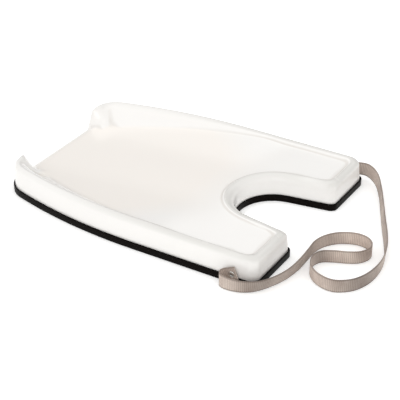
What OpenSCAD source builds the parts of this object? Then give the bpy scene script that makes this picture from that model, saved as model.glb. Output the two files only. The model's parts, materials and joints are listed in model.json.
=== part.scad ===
// Hair-washing tray: a formed sheet with a neck cut-out and a pouring spout,
// a push-on edging round its rim, and a webbing strap riveted to its two shoulders.
// X runs from the spout to the shoulders, Z is up, and the edging stands on Z = 0.

/* [Tray outline] */
// Overall length over the edging, from the spout to the shoulder ends
tray_l = 496; // [440:1:560]
// Overall width over the edging
tray_w = 372; // [330:1:420]
// Length of the straight stretch of each side, from the shoulder end
side_straight = 220; // [160:1:260]
// Radius of the curve that draws each side in towards the spout
side_r = 880; // [700:10:2000]
// Corner radius beside the spout, in plan
spout_corner_r = 50; // [35:1:60]
// Radius of the outer corner of each shoulder, in plan
arm_corner_r = 16; // [14:1:28]
// Radius of the shoulder corner beside the neck, in plan
neck_corner_r = 12; // [10:1:22]
// Radius of the corners of the basin floor, in plan
floor_corner_r = 15; // [10:1:20]

/* [Neck cut-out] */
// Width of the cut-out at its round end
neck_w = 122; // [100:1:140]
// Depth of the cut-out from the shoulder ends
neck_depth = 131; // [110:1:160]
// Angle by which each side of the cut-out opens
neck_flare = 9; // [0:0.5:14]

/* [Formed sheet] */
// Thickness of the sheet
sheet_t = 3; // [2:0.1:4]
// Draft of the outer wall
wall_draft = 3; // [1:0.5:5]
// Height of the side rim beside the spout
rim_h_spout = 50; // [46:0.5:60]
// Height of the side rim at the shoulders
rim_h_arm = 47.5; // [46:0.5:56]
// Rounding of the side rim's outer edge
rim_r = 9; // [6:0.5:12]
// Height of the rim along the shoulder ends
rim_h_end = 46; // [44:0.5:54]
// Rounding of the shoulder ends
end_r = 10; // [8:0.5:14]
// Height of the rim round the neck
rim_h_neck = 45; // [44:0.5:54]
// Rounding of the rim round the neck
neck_r = 14; // [10:0.5:17]

/* [Basin] */
// Height of the floor at the spout lip
lip_z = 14.5; // [14:0.5:20]
// Rounding of the spout lip
lip_r = 8; // [5:0.5:9]
// Height of the floor on the shoulders
pad_z = 41.5; // [34:0.5:42.5]
// Distance from the shoulder ends at which the floor starts to fall
pad_l = 126; // [100:1:180]
// Width of the flat channel down the middle of the floor
channel_w = 110; // [60:1:150]
// Rise of the floor from the channel to each side of the tray
side_rise = 8; // [0:0.5:12]
// Lean of the basin's side walls from upright
basin_lean = 54; // [35:1:60]
// Lean of the inner side of the ears and of the shoulders' rims from upright
rim_lean = 37; // [25:1:45]
// Run that the rounded head and foot add to these walls
basin_toe = 4; // [2:0.5:10]
// Width of the spout opening
spout_w = 164; // [120:1:176]
// Distance along the spout over which the ear's inner side falls to the lip
ear_run = 25; // [20:1:32]
// Distance along the spout over which the ear's outer side falls to the lip
ear_edge_run = 15; // [10:0.5:20]

/* [Edging] */
// Height of the edging's outer leg
edge_h = 12; // [9:0.5:14]
// Height of the edging's inner leg
edge_in_h = 8; // [6:0.5:9]
// Thickness of the edging's legs
edge_t = 1.8; // [1.2:0.1:2.5]
// Thickness of the edging's web, under the sheet
edge_web = 1.6; // [1.2:0.1:2.5]
// Rounding cut along the edging's outside edges
edge_chamfer = 0.6; // [0.3:0.1:0.9]
// Distance from the spout opening to each end of the edging
edge_stop = 8; // [4:1:12]
// Room between the edging and the sheet
edge_gap = 0.1; // [0.05:0.05:0.3]

/* [Strap] */
// Width of the webbing
strap_w = 22; // [18:0.5:23]
// Thickness of the webbing
strap_t = 1.6; // [1:0.1:2]
// Distance from each rivet to the webbing's cut end
tab_end = 8; // [7:0.5:12]
// Distance from each rivet to where the free webbing starts
tab_root = 9; // [7:0.5:11]
// Upward tilt of the near end's cut edge
near_tilt = 24; // [0:1:30]
// Upward tilt of the far end's cut edge
far_tilt = 0; // [0:1:30]
// Distance of each rivet from the shoulder end
rivet_from_end = 40; // [30:1:60]
// Height of the rivets above the edging
rivet_rise = 5; // [4:0.5:14]

/* [Rivets] */
// Diameter of the rivet shank
rivet_d = 4.8; // [4:0.1:5]
// Diameter of the domed head
head_d = 9.5; // [8:0.1:11]
// Height of the domed head
head_h = 1.6; // [1.2:0.1:2.2]
// Diameter of the pulled pin inside the rivet
pin_d = 2.6; // [2:0.1:3]
// Diameter of the rivet's swollen tail
tail_d = 7; // [6:0.1:8]
// Length of the swollen tail
tail_l = 4.5; // [3:0.1:6]
// Largest outside diameter of the washers
washer_d = 12; // [10:0.5:14]
// Thickness of the washer inside the wall
washer_t = 1; // [0.8:0.1:1.6]
// Running clearance of the webbing's eye on the rivet
eye_gap = 0.06; // [0.02:0.01:0.1]
// Play of the webbing's end along the rivet, on each side
eye_play = 0.15; // [0.1:0.05:0.4]
// Least room between the webbing's ends and the edging
strap_clear = 0.4; // [0.3:0.1:1]

/* [Hidden] */
$fn = 64;

half_l = tray_l / 2;
half_w = tray_w / 2;
neck_x = half_l - neck_depth + neck_w / 2;
side_x = half_l - side_straight;
pad_x = half_l - pad_l;
// Inset at which the plan corners have reached the floor's corner radius
corner_inset = 24;
// Share of the floor's fall that its bend at the shoulders takes up
bend = 0.06;

// The sheet stands in the edging's groove: its foot is this far in and this high
foot_d = edge_t + edge_gap;
foot_z = edge_web + edge_gap;
// Width of the groove, which also takes up the draft of the wall
groove_w = sheet_t / cos(wall_draft) + edge_h * tan(wall_draft) + 2 * edge_gap;

function mix(a, b, t) = a + (b - a) * t;
function clip(t) = min(1, max(0, t));
function ease(t) = let(c = clip(t)) c * c * (3 - 2 * c);
function polar(c, r, a) = [c[0] + r * cos(a), c[1] + r * sin(a)];
function unit(v) = v / norm(v);

// Plan outline of one half, d mm in from the edging's face
function corner(r, d) = mix(r, floor_corner_r, clip(d / corner_inset));
function side_centre() = [side_x, half_w - side_r];
function spout_centre(d) = let(r = corner(spout_corner_r, d), x = d + r - half_l)
    [x, half_w - side_r + sqrt(pow(side_r - d - r, 2) - pow(x - side_x, 2))];
function arm_centre(d) = let(r = d + corner(arm_corner_r, d)) [half_l - r, half_w - r];
function leg_point(d, t) = [neck_x - (neck_w / 2 + d) * sin(neck_flare) + t * cos(neck_flare),
                            (neck_w / 2 + d) * cos(neck_flare) + t * sin(neck_flare)];
function inner_centre(d) = let(r = d + corner(neck_corner_r, d),
    t = (half_l - r - neck_x + (neck_w / 2 + r) * sin(neck_flare)) / cos(neck_flare)) leg_point(r, t);

// Each stretch of the half outline has its number of steps: spout, spout corner, side curve,
// side straight, shoulder corner, shoulder end, neck corner, neck leg, neck arc
STEPS = [12, 6, 12, 9, 6, 9, 6, 3, 8];
// Share of the spout's steps that lie on the open lip, and how the rest gather towards it
lip_share = 1 / 3;
gather = 1.5;
stations = [for (s = [0 : len(STEPS) - 1], k = [0 : STEPS[s] - 1]) [s, k / STEPS[s]], [len(STEPS) - 1, 1]];
last = len(stations) - 1;

function spout_y(t, d) = let(end = spout_centre(d)[1], lip = spout_w / 2 * end / spout_centre(0)[1])
    t < lip_share ? lip * t / lip_share : mix(lip, end, pow((t - lip_share) / (1 - lip_share), gather));
function side_angle(d) = let(c = spout_centre(d) - side_centre()) atan2(c[1], c[0]);
function plan(st, d) = let(s = st[0], t = st[1], leg = [sin(neck_flare), -cos(neck_flare)])
    s == 0 ? [d - half_l, spout_y(t, d)] :
    s == 1 ? polar(spout_centre(d), corner(spout_corner_r, d), mix(180, side_angle(d), t)) :
    s == 2 ? polar(side_centre(), side_r - d, mix(side_angle(d), 90, t)) :
    s == 3 ? [mix(side_x, arm_centre(d)[0], t), half_w - d] :
    s == 4 ? polar(arm_centre(d), corner(arm_corner_r, d), 90 - 90 * t) :
    s == 5 ? [half_l - d, mix(arm_centre(d)[1], inner_centre(d)[1], t)] :
    s == 6 ? polar(inner_centre(d), corner(neck_corner_r, d), (neck_flare - 90) * t) :
    s == 7 ? mix(inner_centre(d) + corner(neck_corner_r, d) * leg, leg_point(d, 0), t) :
    polar([neck_x, 0], neck_w / 2 + d, mix(90 + neck_flare, 180, t));

// The whole ring runs out along the far half and back along the near half
ring_n = 2 * last;
function ring_index(half, i) = half == 0 || i == 0 || i == last ? i : ring_n - i;
function on_ring(i, d, z) = let(st = stations[i <= last ? i : ring_n - i], p = plan(st, d))
    [p[0], i <= last ? p[1] : -p[1], z];

// Floor: level on the shoulders, then a channel falling to the spout lip, with sides that rise gently
function floor_fall(t) = t > 1 + bend ? 1 : t > 1 - bend ? 1 - pow(1 + bend - t, 2) / (4 * bend) : t;
function on_shoulder(x) = ease((x - pad_x) * 2 / pad_l + 1);
// Share of a side's breadth over which it bends up out of the channel
side_bend = 0.25;
function dish(y) = let(t = max(0, abs(y) - channel_w / 2) / (half_w - channel_w / 2))
    side_rise * t * t * (1 + side_bend) / (t + side_bend);
function floor_z(p) = mix(lip_z, pad_z, floor_fall((p[0] + half_l) / (pad_x + half_l)))
    + dish(p[1]) * (1 - on_shoulder(p[0]));

// Rim height and rounding along the outline
function rim(st) = let(s = st[0], side = mix(rim_h_spout, rim_h_arm, clip(plan(st, 0)[0] / tray_l + 0.5)))
    s < 4 ? [side, rim_r] :
    s == 4 ? mix([side, rim_r], [rim_h_end, end_r], ease(st[1])) :
    s == 5 ? [rim_h_end, end_r] :
    s == 6 ? mix([rim_h_end, end_r], [rim_h_neck, neck_r], ease(st[1])) : [rim_h_neck, neck_r];

function wall_d(z) = foot_d + (z - foot_z) * tan(wall_draft);

// How much of the rim stands at a station: none across the spout, all past the ears
ear_room = spout_centre(0)[1] - spout_w / 2;
ear_turn = spout_corner_r * (180 - side_angle(0)) * PI / 180;
function ear_way(st) = st[0] == 0 ? spout_y(st[1], 0) - spout_w / 2 : ear_room + ear_turn * st[1];
function ear_length(d) = mix(ear_edge_run, ear_run, clip((d - foot_d) / rim_r));
// Power that makes the ear steep at its foot and round at its top
ear_bow = 0.7;
function standing(st, d) = st[0] > 1 ? 1 : ease(pow(clip(ear_way(st) / ear_length(d)), ear_bow));

// Section through the sheet's upper face: wall foot, rounded rim, then the basin wall down to the floor
ROUND = [0 : 22.5 : 90];
WALL_STEPS = 7;
// Power that makes the basin wall's head tighter than its foot
wall_bow = 0.85;
function rim_point(st, a) = let(full = rim(st), d = foot_d + full[1] * (1 - cos(a)),
    k = standing(st, d), h = mix(lip_z, full[0], k), r = mix(lip_r, full[1], k))
    [wall_d(h - r) + r * (1 - cos(a)), h - r * (1 - sin(a))];
function lean(st) = st[0] == 0 || st[0] > 3 ? rim_lean :
    st[0] == 1 ? mix(rim_lean, basin_lean, ease(st[1])) :
    mix(basin_lean, rim_lean, on_shoulder(plan(st, 0)[0]));
function basin_point(st, s) = let(top = rim_point(st, 90), full = rim(st)[0],
    wall = full - floor_z(plan(st, top[0])), run = basin_toe + wall * tan(lean(st)),
    d = top[0] + run * s, z = floor_z(plan(st, d)))
    [d, z + standing(st, d) * wall * (1 + cos(180 * pow(s, wall_bow))) / 2];
function section(st) = [[foot_d, foot_z], each [for (a = ROUND) rim_point(st, a)],
                        each [for (k = [1 : WALL_STEPS]) basin_point(st, k / WALL_STEPS)]];
// The lower face lies one sheet thickness inside the upper face
function under(p) = let(n = len(p) - 1) [for (j = [0 : n])
    j == 0 ? p[0] + [sheet_t / cos(wall_draft), 0] : j == n ? p[n] - [0, sheet_t] :
    let(along = unit(p[j + 1] - p[j - 1])) p[j] + sheet_t * [along[1], -along[0]]];

// and is drawn with fewer rows
UNDER_ROWS = [0, 1, 3, 5, 7, 9, 12];
sections = [for (st = stations) section(st)];
unders = [for (p = sections) let(q = under(p)) [for (j = UNDER_ROWS) q[j]]];
function face_points(list, drop) = let(rows = len(list[0]),
    ring = [for (i = [0 : ring_n - 1], j = [0 : rows - 1]) let(p = list[i <= last ? i : ring_n - i][j])
            on_ring(i, p[0], p[1])]) concat(ring, floor_points(ring, rows, drop));

// Floor patch of each half: across from the middle to the side, and along from spout to shoulder
across = STEPS[0] + STEPS[1] / 2;
along_n = STEPS[1] / 2 + STEPS[2] + STEPS[3] + STEPS[4] / 2;
mid_n = along_n - STEPS[6] / 2 - STEPS[7] - STEPS[8];
function edge_station(a, b) = b == 0 ? a : a == across ? across + b :
    b == along_n ? across + along_n + across - a : 2 * across + 2 * along_n - b;
function on_edge(a, b) = b == 0 || b == along_n || a == across || (a == 0 && b >= mid_n);
inner_n = (across - 1) * (along_n - 1);
function floor_index(half, a, b, rows) = let(axis_base = ring_n * rows, inner_base = axis_base + mid_n - 1)
    on_edge(a, b) ? ring_index(half, edge_station(a, b)) * rows + rows - 1 :
    a == 0 ? axis_base + b - 1 : inner_base + half * inner_n + (a - 1) * (along_n - 1) + b - 1;
function floor_points(ring, rows, drop) = let(
    foot = function(a, b) let(p = ring[edge_station(a, b) * rows + rows - 1]) [p[0], p[1]],
    middle = function(b) b >= mid_n ? foot(0, b) : mix(foot(0, 0), foot(0, mid_n), b / mid_n),
    patch = function(a, b) let(u = a / across, v = b / along_n)
        mix(middle(b), foot(across, b), u) + mix(foot(a, 0), foot(a, along_n), v)
        - mix(mix(foot(0, 0), foot(across, 0), u), mix(foot(0, along_n), foot(across, along_n), u), v),
    raise = function(p, sign) [p[0], sign * p[1], floor_z(p) - drop])
    [for (b = [1 : mid_n - 1]) raise(middle(b), 0),
     for (sign = [1, -1], a = [1 : across - 1], b = [1 : along_n - 1]) raise(patch(a, b), sign)];

function split(a, b, c, d, turn) = turn ? [[a, b, c], [a, c, d]] : [[a, c, b], [a, d, c]];
// The two halves are split along mirrored diagonals
function skin_faces(base, rows, turn) = [
    for (i = [0 : ring_n - 1], j = [0 : rows - 2])
        let(p = base + i * rows + j, n = base + (i + 1) % ring_n * rows + j)
        each i < last ? split(n, n + 1, p + 1, p, turn) : split(p, n, n + 1, p + 1, turn),
    for (half = [0, 1], a = [0 : across - 1], b = [0 : along_n - 1])
        each split(base + floor_index(half, a, b, rows), base + floor_index(half, a + 1, b, rows),
                   base + floor_index(half, a + 1, b + 1, rows), base + floor_index(half, a, b + 1, rows),
                   half == 0 ? turn : !turn)];

// Rivets stand square to the drafted outer wall
rivet_x = half_l - rivet_from_end;
rivet_z = edge_h + rivet_rise;
rivet_d_in = wall_d(rivet_z);
// The spacer clears the edging below it and stands the webbing's end off past it, however it turns
spacer_d = min(washer_d, 2 * (rivet_rise - strap_clear));
strap_in = (wall_d(edge_h) + strap_clear) * cos(wall_draft);
spacer_t = strap_in - eye_play;
head_z = strap_in + strap_t + eye_play;
module at_rivet(side) {
    mirror([0, side < 0 ? 1 : 0, 0])
        translate([rivet_x, half_w - rivet_d_in, rivet_z])
            rotate([wall_draft - 90, 0, 0])
                children();
}
// Point in space h out from the wall and a along the webbing's end, which falls away from the rivet
function tab_point(side, lead, tilt, a, h) = [rivet_x + lead * a * cos(tilt),
    side * (half_w - rivet_d_in + h * cos(wall_draft) + a * sin(tilt) * sin(wall_draft)),
    rivet_z + h * sin(wall_draft) - a * sin(tilt) * cos(wall_draft)];

module tray_shell() {
    upper = face_points(sections, 0);
    lower = face_points(unders, sheet_t);
    base = len(upper);
    rows = len(sections[0]);
    under_rows = len(UNDER_ROWS);
    rim_edge = [for (i = [0 : ring_n - 1]) let(n = (i + 1) % ring_n)
        each split(i * rows, base + i * under_rows, base + n * under_rows, n * rows, true)];
    faces = concat(skin_faces(0, rows, true), skin_faces(base, under_rows, false), rim_edge);
    color("white")
        difference() {
            polyhedron(concat(upper, lower), faces);
            for (side = [-1, 1])
                at_rivet(side)
                    translate([0, 0, -2 * sheet_t])
                        cylinder(d = rivet_d, h = 4 * sheet_t);
        }
}

// U section of the edging, inset and height, and its sweep round the rim, which leaves the spout bare
edge_inner = edge_t + groove_w;
edge_outer = edge_inner + edge_t;
EDGE = [[edge_chamfer, 0], [0, edge_chamfer], [0, edge_h - edge_chamfer], [edge_chamfer, edge_h],
        [edge_t, edge_h], [edge_t, edge_web], [edge_inner, edge_web], [edge_inner, edge_in_h],
        [edge_outer, edge_in_h], [edge_outer, edge_chamfer], [edge_outer - edge_chamfer, 0]];
module edge_trim() {
    n = len(EDGE);
    points = [for (i = [0 : ring_n - 1], p = EDGE) on_ring(i, p[0], p[1])];
    faces = [for (i = [0 : ring_n - 1], j = [0 : n - 1]) let(m = (i + 1) % ring_n, k = (j + 1) % n)
        each split(i * n + j, m * n + j, m * n + k, i * n + k, true)];
    color("black")
        difference() {
            polyhedron(points, faces);
            translate([-half_l - edge_t, -spout_w / 2 - edge_stop, -edge_h])
                cube([2 * edge_t + edge_outer, spout_w + 2 * edge_stop, 3 * edge_h]);
        }
}

// Route of the free webbing on edge: X, Y, rise above lying on the table, lean of its top
strap_rest = 0.2;
strap_lie = strap_w / 2 + strap_rest;
// Room between the webbing's ends and its free stretch, and how far back the ends are sighted
strap_joint = 0.3;
strap_sight = 3;
strap_h = strap_in + strap_t / 2;
STRAP = [[195, -190, 0.4, 4], [193, -195, 0, 0], [196, -201, 0, 0], [204, -204, 0, 0], [218, -204, 0, 4],
         [235, -199, 0, 8], [251, -187, 0, 14], [264, -165, 0, 16], [273, -137, 0, 12], [276, -106, 0, 6],
         [275, -75, 0, 3], [274, -50, 0, 0], [280, -28, 0, 0], [295, -9, 0, 0], [317, 2, 0, 0],
         [337, 1, 0, 0], [350, -10, 0, 0], [353, -25, 0, 0], [345, -41, 0, 0], [330, -51, 0, 0],
         [311, -59, 0, 0], [295, -69, 0, 0], [289, -84, 0, 0], [292, -100, 0, 0], [301, -114, 0, 0],
         [316, -125, 0, 0], [336, -130, 0, 0], [353, -125, 0, 0], [370, -108, 0, 0], [380, -80, 0, 0],
         [381, -45, 0, 3], [373, -10, 0, 6], [357, 26, 0, 10], [337, 64, 0, 10], [313, 111, 0, 8],
         [292, 151, 0.5, 6], [271, 183, 2.5, 8], [249, 199, 5, 10], [230, 196, 6, 6]];
// The webbing leans with the wall at its ends, and more at the near one, where it turns out past the edging
near_lean = 2 * wall_draft;
far_lean = -wall_draft;
strap_ends = [for (a = [tab_root + strap_joint, tab_root - strap_sight])
    [tab_point(-1, -1, near_tilt, a, strap_h), tab_point(1, 1, far_tilt, a, strap_h)]];
route = [[each strap_ends[0][0], near_lean], each [for (p = STRAP) [p[0], p[1], strap_lie + p[2], p[3]]],
         [each strap_ends[0][1], far_lean]];
// The curve leaves each end in the direction of the riveted webbing
guide = [[each strap_ends[1][0], near_lean], each route, [each strap_ends[1][1], far_lean]];
function curve(p, t) = 0.5 * (2 * p[1] + (p[2] - p[0]) * t + (2 * p[0] - 5 * p[1] + 4 * p[2] - p[3]) * t * t
    + (3 * p[1] - p[0] - 3 * p[2] + p[3]) * t * t * t);
STRAP_SPLIT = 2;
strap_line = [for (i = [0 : len(route) - 2], k = [0 : STRAP_SPLIT - 1])
    curve([for (m = [0 : 3]) guide[i + m]], k / STRAP_SPLIT), route[len(route) - 1]];
function xyz(p) = [p[0], p[1], p[2]];
function strap_ring(i) = let(n = len(strap_line) - 1, c = xyz(strap_line[i]),
    before = i == 0 ? strap_ends[1][0] : i == n ? c : xyz(strap_line[i - 1]),
    after = i == n ? strap_ends[1][1] : i == 0 ? c : xyz(strap_line[i + 1]),
    t = unit(after - before), level = unit(cross(t, [0, 0, 1])), up = cross(level, t), a = strap_line[i][3],
    wide = cos(a) * up + sin(a) * level, thin = cross(t, wide))
    [for (s = [[-1, -1], [1, -1], [1, 1], [-1, 1]])
        c + s[0] * thin * strap_t / 2 + s[1] * wide * strap_w / 2];
module strap_webbing() {
    n = len(strap_line);
    points = [for (i = [0 : n - 1]) each strap_ring(i)];
    faces = [each split(0, 1, 2, 3, false), each split(4 * n - 4, 4 * n - 3, 4 * n - 2, 4 * n - 1, true),
             for (i = [0 : n - 2], j = [0 : 3]) let(k = (j + 1) % 4)
                 each split(4 * i + j, 4 * i + k, 4 * i + 4 + k, 4 * i + 4 + j, true)];
    color("tan")
        polyhedron(points, faces);
}

// Riveted end of the webbing: a flat tab with a round eye, cut square
module strap_end(side, turn) {
    color("tan")
        at_rivet(side)
            translate([0, 0, strap_in])
                rotate([0, 0, turn])
                    difference() {
                        translate([-tab_root, -strap_w / 2, 0])
                            cube([tab_root + tab_end, strap_w, strap_t]);
                        translate([0, 0, -strap_t])
                            cylinder(d = rivet_d + 2 * eye_gap, h = 3 * strap_t);
                    }
}
module near_strap_end() {
    strap_end(-1, -near_tilt);
}
module far_strap_end() {
    strap_end(1, far_tilt - 180);
}

// Blind rivet: domed head, hollow shank through strap, spacer, wall and washer, and a swollen tail
back_z = -sheet_t - washer_t;
pin_gap = 0.05;
tail_neck = 1;
module rivet(side) {
    bore = pin_d / 2 + pin_gap;
    dome_r = (pow(head_d / 2, 2) + pow(head_h, 2)) / (2 * head_h);
    color("silver")
        at_rivet(side)
            difference() {
                union() {
                    translate([0, 0, back_z - tail_l])
                        cylinder(d = rivet_d, h = head_z - back_z + tail_l + head_h / 2);
                    intersection() {
                        translate([0, 0, head_z])
                            cylinder(d = head_d, h = head_h);
                        translate([0, 0, head_z + head_h - dome_r])
                            sphere(r = dome_r);
                    }
                    translate([0, 0, back_z - tail_l])
                        cylinder(d = tail_d, h = tail_l - tail_neck);
                    translate([0, 0, back_z - tail_neck])
                        cylinder(d1 = tail_d, d2 = rivet_d + tail_neck, h = tail_neck);
                }
                translate([0, 0, back_z - 2 * tail_l])
                    cylinder(r = bore, h = head_z - back_z + 4 * tail_l);
            }
}
module near_rivet() {
    rivet(-1);
}
module far_rivet() {
    rivet(1);
}

// Pulled pin: its ball end holds the tail open, and its stem has snapped inside the head
pin_snap = 0.5;
module rivet_pin(side) {
    color("dimgray")
        at_rivet(side) {
            translate([0, 0, back_z - tail_l])
                cylinder(d = pin_d, h = head_z + head_h - pin_snap - back_z + tail_l);
            translate([0, 0, back_z - tail_l - pin_d / 2])
                cylinder(d1 = pin_d, d2 = rivet_d, h = pin_d / 2);
        }
}
module near_rivet_pin() {
    rivet_pin(-1);
}
module far_rivet_pin() {
    rivet_pin(1);
}

module washer(side, z, d, thick) {
    color("silver")
        at_rivet(side)
            translate([0, 0, z])
                difference() {
                    cylinder(d = d, h = thick);
                    translate([0, 0, -thick])
                        cylinder(d = rivet_d, h = 3 * thick);
                }
}
module near_spacer_washer() {
    washer(-1, 0, spacer_d, spacer_t);
}
module far_spacer_washer() {
    washer(1, 0, spacer_d, spacer_t);
}
module near_backing_washer() {
    washer(-1, back_z, washer_d, washer_t);
}
module far_backing_washer() {
    washer(1, back_z, washer_d, washer_t);
}

tray_shell();
edge_trim();
strap_webbing();
near_strap_end();
far_strap_end();
near_rivet();
far_rivet();
near_rivet_pin();
far_rivet_pin();
near_spacer_washer();
far_spacer_washer();
near_backing_washer();
far_backing_washer();
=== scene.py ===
# %% [markdown]
# # A hair-washing tray with a riveted strap
# The tray is one sheet of white plastic, drawn over a mould while it was hot. A black edging is pushed on
# its lower edge, and one length of taupe webbing is riveted to the two shoulders. The frame below brings
# every piece at its real size and place, so this lesson only has to give each piece its finish.

# %% Load the frame
import json
import math
import bpy
import numpy as np
from mathutils import Matrix, Vector


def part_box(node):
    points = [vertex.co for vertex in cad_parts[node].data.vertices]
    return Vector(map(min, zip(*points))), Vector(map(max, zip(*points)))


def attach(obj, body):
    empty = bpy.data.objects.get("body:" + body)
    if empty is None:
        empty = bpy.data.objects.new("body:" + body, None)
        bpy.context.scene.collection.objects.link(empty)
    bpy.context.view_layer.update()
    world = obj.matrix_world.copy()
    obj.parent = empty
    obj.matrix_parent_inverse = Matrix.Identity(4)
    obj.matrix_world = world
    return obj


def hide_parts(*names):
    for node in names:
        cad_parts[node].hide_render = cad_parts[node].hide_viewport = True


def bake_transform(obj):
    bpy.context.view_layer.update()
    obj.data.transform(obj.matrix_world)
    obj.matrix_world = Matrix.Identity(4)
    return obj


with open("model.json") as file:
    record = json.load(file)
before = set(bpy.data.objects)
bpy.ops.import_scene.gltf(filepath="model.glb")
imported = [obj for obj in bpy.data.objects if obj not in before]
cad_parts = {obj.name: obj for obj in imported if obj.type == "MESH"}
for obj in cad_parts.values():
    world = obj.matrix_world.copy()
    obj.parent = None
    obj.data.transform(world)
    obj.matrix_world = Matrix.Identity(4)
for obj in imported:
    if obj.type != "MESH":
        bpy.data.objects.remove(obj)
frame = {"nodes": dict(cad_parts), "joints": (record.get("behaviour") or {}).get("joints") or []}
nodes = frame["nodes"]
joints = {joint["name"]: joint for joint in frame["joints"]}
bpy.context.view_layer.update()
print("nodes:", ", ".join(sorted(nodes)))

# %% [markdown]
# ## The camera
# A camera can be placed by eye, or worked out from points whose real places are known. This one was worked
# out: it looks down at the tray from the near shoulder, through a long lens, so that far edges stay
# nearly as long as near ones. A turn, a height, a roll and a distance about the aimed point place it. The
# points were read at the corners of pixels, and pixels are drawn round their middles, so the view is
# shifted by half a pixel.

# %% Place the camera
IMAGE_PIXELS = 400
FOCAL_PIXELS = 1231.5
SENSOR_MM = 36
CAMERA_TURN = math.radians(31.31)
CAMERA_HEIGHT = math.radians(30.75)
CAMERA_ROLL = math.radians(0.044)
CAMERA_DISTANCE = 2.0276
HALF_PIXEL = 0.5
AIM = Vector((0.0356, 0.0089, -0.0113))

camera_data = bpy.data.cameras.new("camera")
camera_data.sensor_width = SENSOR_MM
camera_data.lens = SENSOR_MM * FOCAL_PIXELS / IMAGE_PIXELS
camera_data.shift_x = -HALF_PIXEL / IMAGE_PIXELS
camera_data.shift_y = HALF_PIXEL / IMAGE_PIXELS
camera = bpy.data.objects.new("camera", camera_data)
bpy.context.scene.collection.objects.link(camera)
right = Vector((math.cos(CAMERA_TURN), math.sin(CAMERA_TURN), 0))
back = Vector((math.sin(CAMERA_TURN) * math.cos(CAMERA_HEIGHT),
               -math.cos(CAMERA_TURN) * math.cos(CAMERA_HEIGHT), math.sin(CAMERA_HEIGHT)))
upright = Matrix((right, back.cross(right), back)).transposed()
camera.matrix_world = (Matrix.Translation(AIM + CAMERA_DISTANCE * back) @ upright.to_4x4()
                       @ Matrix.Rotation(CAMERA_ROLL, 4, "Z"))
bpy.context.scene.camera = camera
print("camera at", [round(x, 3) for x in camera.matrix_world.translation], f"lens {camera_data.lens:.1f} mm")

# %% [markdown]
# ## The route of the webbing
# Webbing is a woven ribbon that bends easily one way and hardly at all the other, so on a table it stands
# on its edge in wide loops. A curve object could be given a flat bevel, but it would twist where it
# pleases. Here the middle line is a list of chosen points, each with the lean of the ribbon's top, and a
# smooth curve runs through all of them, from one cut end to the other.

# %% Points that the webbing passes, in metres: X, Y, rise above lying on the table, and lean in degrees
ROUTE = [
    (0.195, -0.190, 0.0004, 4), (0.193, -0.195, 0, 0), (0.196, -0.201, 0, 0), (0.204, -0.204, 0, 0),
    (0.218, -0.204, 0, 4), (0.235, -0.199, 0, 8), (0.251, -0.187, 0, 14), (0.264, -0.165, 0, 16),
    (0.273, -0.137, 0, 12), (0.276, -0.106, 0, 6), (0.275, -0.075, 0, 3), (0.274, -0.050, 0, 0),
    (0.280, -0.028, 0, 0), (0.295, -0.009, 0, 0), (0.317, 0.002, 0, 0), (0.337, 0.001, 0, 0),
    (0.350, -0.010, 0, 0), (0.353, -0.025, 0, 0), (0.345, -0.041, 0, 0), (0.330, -0.051, 0, 0),
    (0.311, -0.059, 0, 0), (0.295, -0.069, 0, 0), (0.289, -0.084, 0, 0), (0.292, -0.100, 0, 0),
    (0.301, -0.114, 0, 0), (0.316, -0.125, 0, 0), (0.336, -0.130, 0, 0), (0.353, -0.125, 0, 0),
    (0.370, -0.108, 0, 0), (0.380, -0.080, 0, 0), (0.381, -0.045, 0, 3), (0.373, -0.010, 0, 6),
    (0.357, 0.026, 0, 10), (0.337, 0.064, 0, 10), (0.313, 0.111, 0, 8), (0.292, 0.151, 0.0005, 6),
    (0.271, 0.183, 0.0025, 8), (0.249, 0.199, 0.005, 10), (0.230, 0.196, 0.006, 6)]
STRAP_WIDTH = 0.022
STRAP_THICK = 0.0016
TABLE_GAP = 0.0002
LIE_HEIGHT = STRAP_WIDTH / 2 + TABLE_GAP
print(f"{len(ROUTE)} points chosen for the webbing")

# %% The two riveted ends, read from the joints
TAB_END = 0.008
TAB_ROOT = 0.0093
TAB_SIGHT = 0.006
NEAR_TILT = math.radians(24)
FAR_TILT = 0.0


class RivetedEnd:
    """A flat end of the webbing: its rivet, the way out of the wall, and the way to the free webbing."""

    def __init__(self, node, joint, lead, tilt):
        self.rivet = Vector(joint["pos_m"])
        self.out = Vector(joint["axis"]).normalized()
        level = Vector((lead, 0, 0))
        down = level.cross(self.out)
        down *= -math.copysign(1, down.z)
        self.along = math.cos(tilt) * level + math.sin(tilt) * down
        low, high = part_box(node)
        self.height = ((low + high) / 2 - self.rivet).dot(self.out)
        across = self.along.cross(self.out)
        self.across = across * math.copysign(1, across.z)

    def at(self, distance):
        """The middle of the webbing, this far from the rivet towards the free webbing."""
        return self.rivet + self.height * self.out + distance * self.along


near_end = RivetedEnd("near_strap_end", joints["near_strap_pivot"], -1, NEAR_TILT)
far_end = RivetedEnd("far_strap_end", joints["far_strap_pivot"], 1, FAR_TILT)
print(f"the webbing's middle stands {near_end.height * 1000:.2f} mm off the wall at each rivet")

# %% A smooth line through the points, with rings at even steps
RIB_PITCH = 0.0028
RINGS_PER_RIB = 4
CURVE_STEPS = 24
TAB_BLEND = 0.016


def through(points, t):
    """A point on the smooth curve between the middle two of four points."""
    a, b, c, d = points
    bend = 2 * a - 5 * b + 4 * c - d
    twist = 3 * b - a - 3 * c + d
    return 0.5 * (2 * b + (c - a) * t + bend * t ** 2 + twist * t ** 3)


def unit(rows):
    """Every row of an array, made one long."""
    return rows / np.linalg.norm(rows, axis=1)[:, None]


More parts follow.
